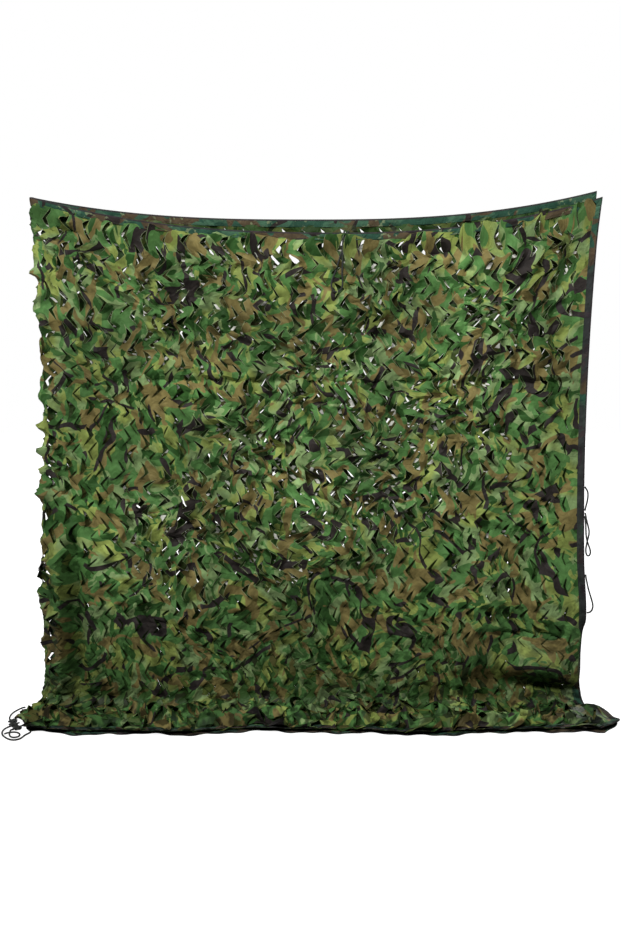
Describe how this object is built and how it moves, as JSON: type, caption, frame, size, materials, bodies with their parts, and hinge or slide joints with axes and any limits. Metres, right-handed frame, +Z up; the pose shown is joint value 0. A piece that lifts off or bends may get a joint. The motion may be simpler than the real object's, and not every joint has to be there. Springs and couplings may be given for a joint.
{
  "type": "camouflage net",
  "caption": "Camouflage net of printed slit cloth with bound edges and cord loops, folded in two, hung by its top edge with its foot spread on the floor.",
  "frame": {"origin": "the middle of the top edge, between the two layers, where the net is held up", "axes": "+X to the right across the net seen from the front, +Y behind it, +Z up; the foot of the net lies forward, towards -Y"},
  "size_m": [1.6112, 0.2903, 1.3796],
  "materials": {
    "slit_cloth": "thin woven polyester, woodland print, pale reverse",
    "binding_cloth": "uncut strip of the printed cloth, sewn down, slight sheen",
    "cord": "dark braided cord, matt"
  },
  "bodies": {
    "root": {"net_cloth": "slit_cloth", "binding_top": "binding_cloth", "binding_bottom": "binding_cloth", "binding_side_back": "binding_cloth", "binding_side_front": "binding_cloth", "cord_top_loop": "cord", "cord_side_upper": "cord", "cord_side_middle": "cord", "cord_side_lower": "cord", "cord_foot_outer": "cord", "cord_foot_inner": "cord", "cord_foot_edge": "cord"}
  },
  "joints": []
}
